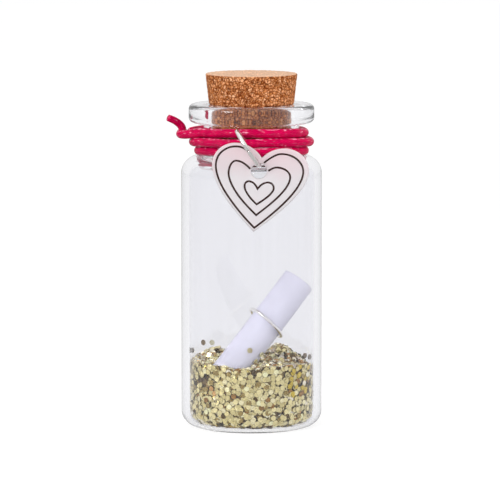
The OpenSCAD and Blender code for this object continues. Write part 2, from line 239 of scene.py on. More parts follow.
class GlassSettings(bpy.types.PropertyGroup):
    tint: FloatVectorProperty(name="Tint", description="Colour that the glass gives to what is behind it",
                              subtype="COLOR", size=3, min=0, max=1, default=linear("#F2F2F5"))
    segments: IntProperty(name="Segments", description="Steps round the bottle", min=64, max=384,
                          default=256)
    ripple: FloatProperty(name="Ripple", description="Unevenness of the inner wall, in millimetres",
                          min=0, max=0.03, default=0.012)


class CorkSettings(bpy.types.PropertyGroup):
    grain: FloatProperty(name="Grain", description="Width of one cork granule", min=0.0005, max=0.003,
                         default=0.00058, subtype="DISTANCE", unit="LENGTH")
    relief: FloatProperty(name="Relief", description="Depth of the gaps between granules, in millimetres",
                          min=0, max=0.3, default=0.12)


class CordSettings(bpy.types.PropertyGroup):
    dye: FloatVectorProperty(name="Dye", description="Colour of the waxed cord", subtype="COLOR", size=3,
                             min=0, max=1, default=linear("#C30248"))
    sides: IntProperty(name="Sides", description="Faces round the cord", min=8, max=32, default=20)


class CharmSettings(bpy.types.PropertyGroup):
    tag_colour: FloatVectorProperty(name="Tag", description="Colour of the frosted tag", subtype="COLOR",
                                    size=3, min=0, max=1, default=linear("#E4DFE2"))
    ink: FloatVectorProperty(name="Ink", description="Colour of the printed lines", subtype="COLOR", size=3,
                             min=0, max=1, default=linear("#33201E"))
    line_width: FloatProperty(name="Line width", description="Width of the printed lines, in millimetres",
                              min=0.2, max=0.8, default=0.4)


class ScrollSettings(bpy.types.PropertyGroup):
    paper: FloatVectorProperty(name="Paper", description="Colour of the rolled paper", subtype="COLOR",
                               size=3, min=0, max=1, default=linear("#CAC9D7"))


class GlitterSettings(bpy.types.PropertyGroup):
    flake: FloatProperty(name="Flake", description="Width of one flake across its corners, in millimetres",
                         min=0.6, max=1.6, default=1.2)
    seed: IntProperty(name="Seed", description="Start of the random draws", min=0, max=999, default=7)


class StageSettings(bpy.types.PropertyGroup):
    lens: FloatProperty(name="Lens", description="Focal length for a 36 mm sensor, in millimetres", min=50,
                        max=400, default=265.7)
    distance: FloatProperty(name="Distance", description="Distance of the camera from the bottle's axis",
                            min=0.3, max=2, default=0.7827, subtype="DISTANCE", unit="LENGTH")
    height: FloatProperty(name="Height", description="Height of the camera over the floor", min=0, max=1,
                          default=0.1315, subtype="DISTANCE", unit="LENGTH")
    pitch: FloatProperty(name="Pitch", description="How far the camera looks down", min=0, max=0.6,
                         default=math.radians(6.837), subtype="ANGLE", unit="ROTATION")


def glass_profile():
    """The bottle's section from the base's centre, round the outside, over the mouth and back inside."""
    heel, shoulder, fillet, lip, mouth = 3.3, 4.0, 0.6, 1.1, 0.8
    inner_heel, inner_shoulder = heel - WALL * 0.8, shoulder - WALL * 0.8
    inner_top = SHOULDER_Z - WALL
    points = [(0, 0), (4, 0), (8, 0)]
    points += arc(BODY_R - heel, heel, heel, -90, 0, 14)
    points += spread([(BODY_R, heel + 0.5), (BODY_R, SHOULDER_Z - shoulder - 0.5)], 4)
    points += arc(BODY_R - shoulder, SHOULDER_Z - shoulder, shoulder, 0, 90, 14)
    points += arc(NECK_R + fillet, SHOULDER_Z + fillet, fillet, -90, -180, 6)
    points += arc(NECK_R + fillet, LIP_Z - fillet, fillet, 180, 90, 6)
    points += arc(LIP_R - lip, LIP_Z + lip, lip, -90, 0, 8)
    points += arc(LIP_R - lip, MOUTH_Z - lip, lip, 0, 90, 8)
    points += arc(BORE_R + mouth, MOUTH_Z - mouth, mouth, 90, 180, 8)
    points += arc(BORE_R + mouth, inner_top + mouth, mouth, 180, 270, 8)
    points += arc(INNER_R - inner_shoulder, inner_top - inner_shoulder, inner_shoulder, 90, 0, 12)
    points += spread([(INNER_R, inner_top - inner_shoulder - 0.5),
                      (INNER_R, FLOOR_SEEN + inner_heel + 0.5)], 2)
    points += arc(INNER_R - inner_heel, FLOOR_SEEN + inner_heel, inner_heel, 0, -90, 12)
    return points + [(7, FLOOR_SEEN), (3, FLOOR_SEEN), (0, FLOOR_SEEN)]


class BOTTLE_OT_glass(bpy.types.Operator):
    """Glass bottle: body, shoulder, neck and rolled lip in one piece"""

    bl_idname = "bottle.glass"
    bl_label = "Glass"

    def execute(self, context):
        settings = context.scene.bottle_glass
        # Soda-lime glass drawn as a tube, then heated and rolled at the lip:
        # clear, with very faint streaks along its length
        glass, tree, shader = new_material("soda_lime_glass_drawn_tube", Roughness=0.0, IOR=1.5,
                                           Transmission_Weight=1.0)
        place = add_node(tree, "ShaderNodeTexCoord").outputs["Object"]
        # Streaks 2 mm wide and twenty times as long
        stretch = add_node(tree, "ShaderNodeMapping", {"Scale": (1, 1, 0.05)}, {"Vector": place})
        streaks = spots(tree, stretch.outputs["Vector"], 2, 1.0).outputs["Fac"]
        tree.links.new(two_tones(tree, settings.tint, 0.97, 1.03, streaks), shader.inputs["Base Color"])
        tree.links.new(bump(tree, streaks, 0.03, 0.1), shader.inputs["Normal"])

        profile = glass_profile()
        inner_from = len(profile) // 2

        def rippled(i, r, z, a):
            if i > inner_from and abs(r - INNER_R) < 0.01:
                r += settings.ripple * (math.sin(3 * a + 0.6) + 0.6 * math.sin(7 * a + 2 + z * 0.02))
            return r, z

        verts, faces = revolve(profile, settings.segments, rippled)
        piece = new_piece("bottle_glass", verts, faces, glass, "bottle", ["glass_bottle"])
        # Light reaches what stands behind clear glass
        piece.visible_shadow = False
        return {"FINISHED"}


def cork_profile():
    """The cork's section from the centre of its top down to the centre of its foot."""
    edge = 0.35
    # It narrows down to the lip, is squeezed in under the mouth's round and fills the bore
    points = [(0, CORK_TOP_Z), (CORK_TOP_R - 0.38, CORK_TOP_Z), (CORK_TOP_R - 0.14, CORK_TOP_Z - 0.08),
              (CORK_TOP_R - 0.04, CORK_TOP_Z - 0.3), (CORK_LIP_R, MOUTH_Z + 0.25),
              (CORK_PLUG_R, MOUTH_Z - 0.65), (CORK_PLUG_R, MOUTH_Z - 1.45),
              (CORK_FOOT_R, CORK_FOOT_Z + edge), (CORK_FOOT_R - edge, CORK_FOOT_Z), (0, CORK_FOOT_Z)]
    return [(max(round(r, 9), 0), z) for r, z in spread(points, 0.3)]


class BOTTLE_OT_cork(bpy.types.Operator):
    """Cork stopper pressed from granules"""

    bl_idname = "bottle.cork"
    bl_label = "Cork"

    def execute(self, context):
        settings = context.scene.bottle_cork
        # Agglomerated cork: granules of 0.4 to 0.8 mm, glued, pressed and
        # ground to a taper, so cut cells and dark bark show with small gaps
        cork, tree, shader = new_material("agglomerated_cork_ground", Roughness=0.85,
                                          Specular_IOR_Level=0.1)
        place = add_node(tree, "ShaderNodeTexCoord").outputs["Object"]
        # Granules are torn, so their outlines wander by up to 0.5 mm
        warp = spots(tree, place, 0.7, 2.0)
        bend = add_node(tree, "ShaderNodeVectorMath", {1: (0.5 * MM,) * 3}, {0: warp.outputs["Color"]},
                        operation="MULTIPLY")
        spot = add_node(tree, "ShaderNodeVectorMath", links={0: place, 1: bend.outputs["Vector"]},
                        operation="ADD")
        grains = add_node(tree, "ShaderNodeTexVoronoi", {"Scale": 1 / settings.grain},
                          {"Vector": spot.outputs["Vector"]})
        gaps = add_node(tree, "ShaderNodeTexVoronoi", {"Scale": 1 / settings.grain},
                        {"Vector": spot.outputs["Vector"]}, feature="DISTANCE_TO_EDGE")
        crumbs = add_node(tree, "ShaderNodeTexVoronoi", {"Scale": 2.1 / settings.grain},
                          {"Vector": spot.outputs["Vector"]})
        parts = add_node(tree, "ShaderNodeSeparateColor", links={"Color": grains.outputs["Color"]})
        small = add_node(tree, "ShaderNodeSeparateColor", links={"Color": crumbs.outputs["Color"]})
        tones = add_node(tree, "ShaderNodeValToRGB", links={"Fac": parts.outputs["Red"]},
                         stops=[(0.0, "#5F2B0C"), (0.16, "#98511F"), (0.36, "#C67B45"), (0.65, "#DB935C"),
                                (0.88, "#EBAD7C"), (1.0, "#F6C79C")])
        fine = add_node(tree, "ShaderNodeValToRGB", links={"Fac": small.outputs["Red"]},
                        stops=[(0.0, "#4E1F07"), (0.2, "#A65C2B"), (0.55, "#D28650"), (1.0, "#F5C094")])
        both = add_node(tree, "ShaderNodeMix", {"Factor": 0.5}, data_type="RGBA")
        tree.links.new(tones.outputs["Color"], both.inputs["A"])
        tree.links.new(fine.outputs["Color"], both.inputs["B"])
        # Painted shade: the gaps between granules, which the bump sinks, are drawn darker
        dark = add_node(tree, "ShaderNodeValToRGB", links={"Fac": gaps.outputs["Distance"]},
                        stops=[(0.0, "#5C3A1F"), (0.05, "#B28A68"), (0.16, "#FFFFFF")])
        shade = add_node(tree, "ShaderNodeMix", {"Factor": 1.0}, data_type="RGBA", blend_type="MULTIPLY")
        tree.links.new(both.outputs["Result"], shade.inputs["A"])
        tree.links.new(dark.outputs["Color"], shade.inputs["B"])
        # The sanded top is paler: partly dust, partly painted light and sheen from above
        height = add_node(tree, "ShaderNodeSeparateXYZ", links={"Vector": place})
        top_dust_and_light = add_node(tree, "ShaderNodeMapRange", {"From Min": (CORK_TOP_Z - 0.2) * MM,
                                                     "From Max": (CORK_TOP_Z - 0.05) * MM, "To Max": 0.5},
                        {"Value": height.outputs["Z"]})
        dusty_and_lit_top = add_node(tree, "ShaderNodeMix", {"B": (*linear("#FFE0C4"), 1)},
                         {"Factor": top_dust_and_light.outputs["Result"]}, data_type="RGBA")
        tree.links.new(shade.outputs["Result"], dusty_and_lit_top.inputs["A"])
        # Painted shade on the foot in the bore, darkest just under the mouth that squeezes it, where the
        # glass lip keeps the light off
        bore_shade_strength = add_node(tree, "ShaderNodeMapRange", {"From Min": (MOUTH_Z - 3.5) * MM,
                                                         "From Max": (MOUTH_Z - 1) * MM, "To Min": 0.85},
                            {"Value": height.outputs["Z"]})
        bore_shade_mask = add_node(tree, "ShaderNodeMapRange", {"From Min": (MOUTH_Z - 0.4) * MM,
                                                     "From Max": (MOUTH_Z + 0.3) * MM, "To Max": 0.0},
                        {"Value": height.outputs["Z"], "To Min": bore_shade_strength.outputs["Result"]})
        low = add_node(tree, "ShaderNodeMix", {"B": (*linear("#BCA88A"), 1)},
                       {"Factor": bore_shade_mask.outputs["Result"]}, data_type="RGBA", blend_type="MULTIPLY")
        tree.links.new(dusty_and_lit_top.outputs["Result"], low.inputs["A"])
        tree.links.new(low.outputs["Result"], shader.inputs["Base Color"])
        sunk = bump(tree, dark.outputs["Color"], 0.6, 0.08)
        pores = spots(tree, place, 0.18, 3.0)
        tree.links.new(bump(tree, pores.outputs["Fac"], 0.35, 0.05, over=sunk), shader.inputs["Normal"])

        grain = settings.grain / MM

        def pitted(i, r, z, a):
            # Pits lie between granules, and the squeezed plug is nearly smooth
            at = Vector((r * math.cos(a), r * math.sin(a), z)) / (1.3 * grain)
            near = noise.voronoi(at)[0]
            gap = max(0.0, 1 - (near[1] - near[0]) / 0.22)
            depth = (settings.relief if z > MOUTH_Z + 0.3 else 0.03) * gap
            if z > CORK_TOP_Z - 0.2:
                return r, z - depth * 0.8
            return r - depth, z

        verts, faces = revolve(cork_profile(), 224, pitted)
        new_piece("cork_granules", verts, faces, cork, "cork", ["cork_stopper"])
        return {"FINISHED"}


def cord_route(per_span):
    """The cord's centre line: the same winding, start and tail as the solid has."""
    seat, fit, under_lip, over_fit, bulge = 0.05, 0.06, 0.58, 0.2, 1.1
    low_gap, top_gap = 0.07, 0.15
    wind_from, wind_to, steps, step = 40, 1040, 56, 18
    # Angles between which the winding drops a row, climbs back, and steps out over the rows and in again
    first_jog, second_jog, climb, out, back = (70, 120), (430, 480), (762, 846), (732, 766), (832, 868)
    # Where the ring lifts the two lower rows, and how far before its back their line and its bend lie
    lift_mid, lift_low = (256, 4, 2.85), (275, 3.4, 2.2)
    low = SHOULDER_Z + CORD_R + seat
    mid = low + 2 * CORD_R + low_gap
    top = mid + 2 * CORD_R + top_gap
    rise = LIP_Z - top - CORD_R - under_lip
    snug = (NECK_R + fit + CORD_R) / math.cos(math.radians(step / 2))

    def ease(x, lo, hi):
        t = min(1, max(0, (x - lo) / (hi - lo)))
        return t * t * (3 - 2 * t)

    def lifted(a, at, line, bend):
        off = abs((a - at + 540) % 360 - 180)
        reach = math.degrees(math.acos(snug / (RING_BACK + line)))
        if off >= reach:
            return 0
        return min(RING_BACK + bend, snug / math.cos(math.radians(reach - off))) - snug

    def point(u):
        a = 180 - u
        first, second, up = ease(u, *first_jog), ease(u, *second_jog), ease(u, *climb)
        w = (1 - first + up, first - second, second - up)
        z = w[0] * top + w[1] * mid + w[2] * low + rise * max(0, -math.sin(math.radians(a)))
        over = ease(u, *out) * (1 - ease(u, *back))
        r = (snug + bulge * w[1] * math.cos(math.radians(a)) ** 2 + w[1] * lifted(a, *lift_mid)
             + w[2] * lifted(a, *lift_low) + over * (2 * CORD_R + over_fit))
        return (r * math.cos(math.radians(a)), r * math.sin(math.radians(a)), z)

    start = [(-12.8, 1.3, 62.9), (-11.7, 3.3, 63.0), (-10.3, 5.2, 63.0)]
    tail = [(-10.5, -5.1, 63.3), (-12.4, -3.2, 62.9), (-14.0, -1.6, 62.6), (-15.0, -0.1, 62.5),
            (-15.1, 1.2, 62.6), (-14.7, 2.2, 63.3), (-15.2, 2.2, 64.3), (-16.3, 1.6, 65.2),
            (-17.7, 0.9, 65.9)]
    turns = [point(wind_from + (wind_to - wind_from) * i / steps) for i in range(steps + 1)]
    points = np.array(start[:1] + start + turns + tail + tail[-1:])
    smooth = []
    for a, b, c, d in zip(points, points[1:], points[2:], points[3:]):
        for j in range(per_span):
            t = j / per_span
            smooth.append(0.5 * (2 * b + (c - a) * t + (2 * a - 5 * b + 4 * c - d) * t * t
                                 + (3 * b - a - 3 * c + d) * t ** 3))
    smooth.append(points[-1])
    return np.array(smooth)


class BOTTLE_OT_cord(bpy.types.Operator):
    """Waxed cord wound round the neck, with its tail"""

    bl_idname = "bottle.cord"
    bl_label = "Cord"

    def execute(self, context):
        settings = context.scene.bottle_cord
        # Waxed cotton cord: fine yarns laid side by side and smoothed by the wax, so lengthwise streaks
        # show under a soft sheen and small glints, some of which are painted pale into its colour
        cord, tree, shader = new_material("waxed_cotton_cord_dyed", Roughness=0.38,
                                          Specular_IOR_Level=0.03, Coat_Roughness=0.12)
        place = add_node(tree, "ShaderNodeUVMap", uv_map="strand").outputs["UV"]
        # Yarns: 14 round the cord, each slanting once round in 14 mm
        parts = add_node(tree, "ShaderNodeSeparateXYZ", links={"Vector": place})
        slant = add_node(tree, "ShaderNodeMath", {1: 1 / 14}, {0: parts.outputs["Y"]}, operation="MULTIPLY")
        turn = add_node(tree, "ShaderNodeMath", links={0: parts.outputs["X"], 1: slant.outputs["Value"]},
                        operation="ADD")
        angle = add_node(tree, "ShaderNodeMath", {1: 2 * math.pi * 14}, {0: turn.outputs["Value"]},
                         operation="MULTIPLY")
        yarns = add_node(tree, "ShaderNodeMath", links={0: angle.outputs["Value"]}, operation="SINE")
        body = add_node(tree, "ShaderNodeTexCoord").outputs["Object"]
        blot = spots(tree, body, 1.4, 4.0, Roughness=0.6)
        # Fibres, drawn coarser than real ones so that they show: streaks 0.3 mm wide and 3.6 mm long
        strand = add_node(tree, "ShaderNodeMapping", {"Scale": (2 * math.pi * CORD_R / 0.3, 1 / 3.6, 1)},
                          {"Vector": place})
        fibres = add_node(tree, "ShaderNodeTexNoise", {"Scale": 1.0, "Detail": 3.0, "Roughness": 0.6},
                          {"Vector": strand.outputs["Vector"]})
        uneven = add_node(tree, "ShaderNodeMix", {"Factor": 0.65},
                          {"A": blot.outputs["Fac"], "B": fibres.outputs["Fac"]})
        mixed = add_node(tree, "ShaderNodeMath", {1: 0.07, 2: 0.0},
                         {0: yarns.outputs["Value"], 2: uneven.outputs["Result"]}, operation="MULTIPLY_ADD")
        # Colour follows the fibre streaks, with painted shade in the grooves between the yarns where the
        # relief sinks
        deep = add_node(tree, "ShaderNodeMix", {"A": (*[c * 0.62 for c in settings.dye], 1),
                                                "B": (*[min(1, c * 1.15) for c in settings.dye], 1)},
                        data_type="RGBA")
        ramp = add_node(tree, "ShaderNodeValToRGB", links={"Fac": mixed.outputs["Value"]},
                        stops=[(0.34, 0.0), (0.58, 1.0)])
        tree.links.new(ramp.outputs["Color"], deep.inputs["Factor"])
        # Wax lies thick in patches of 0.5 by 1.6 mm, and these glint. The thickest are painted pale pink,
        # as painted highlights
        lumps = add_node(tree, "ShaderNodeMapping", {"Scale": (2 * math.pi * CORD_R / 0.5, 1 / 1.6, 1)},
                         {"Vector": place})
        wax = add_node(tree, "ShaderNodeTexNoise", {"Scale": 1.0, "Detail": 4.0, "Roughness": 0.65},
                       {"Vector": lumps.outputs["Vector"]})
        shine = add_node(tree, "ShaderNodeValToRGB", links={"Fac": wax.outputs["Fac"]},
                         stops=[(0.53, 0.0), (0.6, 0.7)])
        tree.links.new(shine.outputs["Color"], shader.inputs["Coat Weight"])
        # The painted highlights come most where the next row rests, about a sixth of the way round the cord
        off = add_node(tree, "ShaderNodeMath", {1: 0.17}, {0: parts.outputs["X"]}, operation="SUBTRACT")
        far = add_node(tree, "ShaderNodeMath", links={0: off.outputs["Value"]}, operation="ABSOLUTE")
        seam_glint_bias = add_node(tree, "ShaderNodeMapRange",
                        {"From Min": 0.02, "From Max": 0.08, "To Min": 0.1, "To Max": 0.0},
                        {"Value": far.outputs["Value"]})
        glint_place = add_node(tree, "ShaderNodeMath", links={0: wax.outputs["Fac"], 1: seam_glint_bias.outputs["Result"]},
                          operation="ADD")
        thick = add_node(tree, "ShaderNodeValToRGB", links={"Fac": glint_place.outputs["Value"]},
                         stops=[(0.62, 0.0), (0.69, 0.85)])
        wax_glint_painted = add_node(tree, "ShaderNodeMix", {"B": (*linear("#F79DBE"), 1)},
                         {"Factor": thick.outputs["Color"]}, data_type="RGBA")
        tree.links.new(deep.outputs["Result"], wax_glint_painted.inputs["A"])
        tree.links.new(wax_glint_painted.outputs["Result"], shader.inputs["Base Color"])
        tree.links.new(bump(tree, mixed.outputs["Value"], 0.7, 0.12), shader.inputs["Normal"])

        route = cord_route(5)
        total = np.linalg.norm(np.diff(route, axis=0), axis=1).sum()

        def radius(run, a):
            # The free end thins to 1.4 mm and is pinched at its cut
            end = max(0.0, 1 - (total - run) / 9)
            wander = noise.noise(Vector((run * 0.35, math.cos(a), math.sin(a)))) * 0.02
            return (CORD_R + 0.075 - 0.24 * end) * (1 + wander)

        verts, faces, uv = sweep(route, settings.sides, radius)
        new_piece("neck_cord_waxed", verts, faces, cord, "bottle", ["neck_cord"], uv=uv)
        return {"FINISHED"}


def silver_material():
    # Brass wire with silver plate, drawn and tumbled: a soft mirror with fine marks
    silver, tree, shader = new_material("silver_plated_wire", Base_Color=linear("#F4F2F0"), Metallic=1.0)
    place = add_node(tree, "ShaderNodeTexCoord").outputs["Object"]
    marks = spots(tree, place, 0.6, 2.0)
    dents = bump(tree, marks.outputs["Fac"], 0.02, 0.02)
    worn = add_node(tree, "ShaderNodeValToRGB", links={"Fac": marks.outputs["Fac"]},
                    stops=[(0.35, 0.2), (0.75, 0.28)])
    tree.links.new(worn.outputs["Color"], shader.inputs["Roughness"])
    tree.links.new(dents, shader.inputs["Normal"])
    return silver


def split_ring(centre, across, normal, mean_r, wire_r, gap_mm, gap_at):
    """A wire ring with a butt joint whose two ends are slightly rounded."""
    across = Vector(across).normalized()
    normal = Vector(normal).normalized()
    over = normal.cross(across)
    half = gap_mm / mean_r / 2
    edge = 0.12 / mean_r
    spans = [(half, 0.78), (half + edge * 0.3, 0.93), (half + edge, 1.0)]
    turns = spans + [(a, 1.0) for a in np.linspace(half + edge, 2 * math.pi - half - edge, 90)[1:-1]]
    turns += [(2 * math.pi - a, s) for a, s in spans[::-1]]
    sides, verts, faces = 18, [], []
    for a, scale in turns:
        out = math.cos(gap_at + a) * across + math.sin(gap_at + a) * over
        hub = Vector(centre) + mean_r * out
        for k in range(sides):
            b = 2 * math.pi * k / sides
            verts.append(tuple(hub + wire_r * scale * (math.cos(b) * out + math.sin(b) * normal)))
    for i in range(len(turns) - 1):
        for k in range(sides):
            m = (k + 1) % sides
            faces.append([i * sides + k, i * sides + m, (i + 1) * sides + m, (i + 1) * sides + k])
    faces.append(list(range(sides))[::-1])
    faces.append([(len(turns) - 1) * sides + k for k in range(sides)])
    return verts, faces


def curve(a, b, c, d, steps):
    """Points of a curve with two handles, without its last one."""
    a, b, c, d = (np.array(p, dtype=float) for p in (a, b, c, d))
    return [a * (1 - t) ** 3 + 3 * b * (1 - t) ** 2 * t + 3 * c * (1 - t) * t * t + d * t ** 3
            for t in (i / steps for i in range(steps))]


def heart(right, left, notch, tip, arm, steps=26):
    """A closed heart from two sides, each as half width, its height, lobe's place and height."""
    def one_side(w, wide, lobe, top):
        reach, rise, fall = lobe - notch[0], top - notch[1], tip[1] - wide
        return (curve(notch, (notch[0] + reach * arm[0], notch[1] + rise * arm[1]),
                      (notch[0] + reach * 0.62, top), (lobe, top), steps)
                + curve((lobe, top), (lobe + (w - lobe) * 0.56, top), (w, wide + (top - wide) * 0.57),
                        (w, wide), steps)
                + curve((w, wide), (w, wide + fall * 0.3), (w * 0.47, wide + fall * 0.7), tip, steps))

    a = one_side(*right)
    b = one_side(-left[0], left[1], -left[2], left[3])
    return np.array(a + [np.array(tip, dtype=float)] + b[:0:-1])


def inset(points, d):
    """A closed outline drawn in by d, square to its own line."""
    before = points - np.roll(points, 1, 0)
    after = np.roll(points, -1, 0) - points
    before /= np.linalg.norm(before, axis=1)[:, None]
    after /= np.linalg.norm(after, axis=1)[:, None]
    both = before + after
    m = np.stack([both[:, 1], -both[:, 0]], 1)
    m /= np.linalg.norm(m, axis=1)[:, None]
    stretch = np.maximum(0.55, m[:, 0] * before[:, 1] - m[:, 1] * before[:, 0])
    return points + m * (d / stretch)[:, None]


RING_C = (-0.67, -RING_BACK - RING_R, 60.839)
TAG_BACK_Y = RING_C[1] + 0.1
HANG = math.sqrt(RING_R ** 2 - (TAG_T / 2 - 0.1) ** 2)
WIRE_AT_TAG = (RING_C[0] + HANG * math.sin(RING_LEAN), RING_C[2] - HANG * math.cos(RING_LEAN))
HOLE_R = 1.65
HOLE_C = (WIRE_AT_TAG[0] - 0.1, WIRE_AT_TAG[1] - (HOLE_R - WIRE_R - 0.2))
TAG_LEAN = math.radians(6.5)


def on_tag(u, v, depth):
    """A place of the tag's drawing as a point of the frame. Depth counts from its back."""
    c, s = math.cos(TAG_LEAN), math.sin(TAG_LEAN)
    return (HOLE_C[0] + u * c + v * s, TAG_BACK_Y - depth, HOLE_C[1] - u * s + v * c)


class BOTTLE_OT_charm(bpy.types.Operator):
    """Jump ring, frosted heart tag and the lines printed on it"""

    bl_idname = "bottle.charm"
    bl_label = "Ring and heart tag"

    def execute(self, context):
        settings = context.scene.bottle_charm
        lean = (math.sin(RING_LEAN), 0, -math.cos(RING_LEAN))
        square = (math.cos(RING_LEAN), 0, math.sin(RING_LEAN))
        across = Vector(lean)
        over = Vector(square).cross(across)
        front = math.atan2(Vector((0, -1, 0)).dot(over), Vector((0, -1, 0)).dot(across))
        verts, faces = split_ring(RING_C, lean, square, RING_R, WIRE_R, 0.2, front)
        new_piece("jump_ring_silver", verts, faces, silver_material(), "ring", ["jump_ring"])
        self.make_tag(settings)
        self.make_lines(settings)
        return {"FINISHED"}

    def make_tag(self, settings):
        # Acrylic sheet cut to shape and tumbled: a frosted skin, soft edges,
        # and light that goes a little way in
        acrylic, tree, shader = new_material("frosted_acrylic_tumbled", Roughness=0.5, IOR=1.49,
                                             Transmission_Weight=0.25, Specular_IOR_Level=0.4)
        place = add_node(tree, "ShaderNodeTexCoord").outputs["Object"]
        # Milky sheet whose tone wanders in clouds, with a pink painted reflection of the cord above that
        # grows stronger towards the top
        cloud = spots(tree, place, 5, 3.0)
        height = add_node(tree, "ShaderNodeSeparateXYZ", links={"Vector": place})
        rise = add_node(tree, "ShaderNodeMapRange",
                        {"From Min": 54 * MM, "From Max": 60 * MM, "To Min": -0.5, "To Max": 0.5},
                        {"Value": height.outputs["Z"]})
        share = add_node(tree, "ShaderNodeMath", links={0: cloud.outputs["Fac"], 1: rise.outputs["Result"]},
                         operation="ADD", use_clamp=True)
        base = tuple(settings.tag_colour)
        tone = add_node(tree, "ShaderNodeMix", {"A": (*base, 1),
                                                "B": (base[0] * 1.03, base[1] * 0.88, base[2] * 0.9, 1)},
                        {"Factor": share.outputs["Value"]}, data_type="RGBA")
        tree.links.new(tone.outputs["Result"], shader.inputs["Base Color"])
        # Frosting, drawn coarse enough to show: grit of 0.12 mm
        grit = spots(tree, place, 0.12, 2.0)
        tree.links.new(bump(tree, grit.outputs["Fac"], 0.25, 0.02), shader.inputs["Normal"])

        outline = heart((10.4, 0.7, 5.3, 5.3), (9.9, 0.7, 4.9, 5.35), (0.3, 2.7), (0.3, -12.8),
                        (0.2, 0.6), 20)
        n = len(outline)
        turns = np.arctan2(outline[:, 1], outline[:, 0])
        circle = np.stack([np.cos(turns), np.sin(turns)], 1)
        edge, rings = 0.38, []
        for a in np.linspace(0, math.pi / 2, 6):
            rings.append((inset(outline, edge * (1 - math.sin(a))), edge * (1 - math.cos(a))))
        for a in np.linspace(math.pi / 2, 0, 6):
            rings.append((inset(outline, edge * (1 - math.sin(a))), TAG_T - edge * (1 - math.cos(a))))
        front, soft = rings[-1][0], 0.15
        for share in (0.25, 0.5, 0.75):
            rings.append((front * (1 - share) + circle * (HOLE_R + soft) * share, TAG_T))
        rings += [(circle * (HOLE_R + soft), TAG_T), (circle * (HOLE_R + 0.04), TAG_T - 0.05),
                  (circle * HOLE_R, TAG_T - soft), (circle * HOLE_R, soft),
                  (circle * (HOLE_R + 0.04), 0.05), (circle * (HOLE_R + soft), 0)]
        back = rings[0][0]
        for share in (0.75, 0.5, 0.25):
            rings.append((back * (1 - share) + circle * (HOLE_R + soft) * share, 0))
        verts = [on_tag(*p, depth) for points, depth in rings for p in points]
        faces = []
        for i in range(len(rings)):
            j = (i + 1) % len(rings)
            for k in range(n):
                m = (k + 1) % n
                faces.append([i * n + k, i * n + m, j * n + m, j * n + k])
        new_piece("heart_tag_frosted", verts, faces, acrylic, "tag", ["heart_tag"])

    def make_lines(self, settings):
        # Screen-printed enamel ink: dark, a little raised, slightly uneven
        ink, tree, shader = new_material("screen_printed_ink", Roughness=0.5, Specular_IOR_Level=0.15)
        place = add_node(tree, "ShaderNodeTexCoord").outputs["Object"]
        patchy = spots(tree, place, 0.5, 3.0)
        base = tuple(settings.ink)
        tone = add_node(tree, "ShaderNodeMix", {"A": (*[c * 0.6 for c in base], 1),
                                                "B": (*[min(1, c * 1.5 + 0.01) for c in base], 1)},
                        {"Factor": patchy.outputs["Fac"]}, data_type="RGBA")
        tree.links.new(tone.outputs["Result"], shader.inputs["Base Color"])
        hearts = [heart((9.2, 0.6, 4.75, 4.15), (9.1, 0.7, 4.85, 4.65), (0.2, 1.2), (0.36, -11.9),
                        (0.3, 0.48)),
                  heart((6.62, -0.7, 3.9, 1.22), (6.28, -0.7, 4.9, 1.68), (0.17, -1.4), (0.45, -9.2),
                        (0.4, 0.5)),
                  heart((3.45, -3.3, 2.25, -2.12), (2.65, -3.25, 1.75, -2.3), (0.12, -3.7), (0.3, -6.95),
                        (0.25, 0.6))]
        verts, faces = [], []
        for number, points in enumerate(hearts):
            n = len(points)
            keep = np.hypot(points[:, 0], points[:, 1]) > HOLE_R + 0.18
            first = len(verts)
            bands = []
            for off, height in ((-1, 0.0), (-0.75, 0.06), (0, 0.08), (0.75, 0.06), (1, 0.0)):
                waver = [noise.noise(Vector((k * 0.13, number, off))) for k in range(n)]
                wide = settings.line_width / 2 * (1 + 0.16 * np.array(waver))
                moved = points + (inset(points, 1e-3) - points) * 1e3 * (off * wide)[:, None]
                bands.append([on_tag(*p, TAG_T + height) for p in moved])
            for k in range(n):
                verts += [band[k] for band in bands]
            for k in range(n):
                m = (k + 1) % n
                if keep[k] and keep[m]:
                    for j in range(4):
                        faces.append([first + k * 5 + j, first + k * 5 + j + 1, first + m * 5 + j + 1,
                                      first + m * 5 + j])
        new_piece("heart_lines_printed", verts, faces, ink, "tag", ["heart_lines"])


# The scroll leans from wall to wall, and its lower end stands in the glitter
SCROLL_AZ = math.radians(20.6)
SCROLL_RUN = 2 * INNER_R - 0.93 * 2 * SCROLL_R - 0.25
SCROLL_EL = math.acos(SCROLL_RUN / SCROLL_LEN)
SCROLL_MID = (1.05, -2.5)
SCROLL_LIFT = 4.3
SCROLL_LOW = Vector((SCROLL_MID[0] - SCROLL_RUN / 2 * math.cos(SCROLL_AZ),
                     SCROLL_MID[1] - SCROLL_RUN / 2 * math.sin(SCROLL_AZ),
                     FLOOR + SCROLL_LIFT + SCROLL_R * math.cos(SCROLL_EL)))
SCROLL_TURN = Matrix.Rotation(SCROLL_AZ, 3, "Z") @ Matrix.Rotation(math.pi / 2 - SCROLL_EL, 3, "Y")
SCROLL_DIR = SCROLL_TURN @ Vector((0, 0, 1))


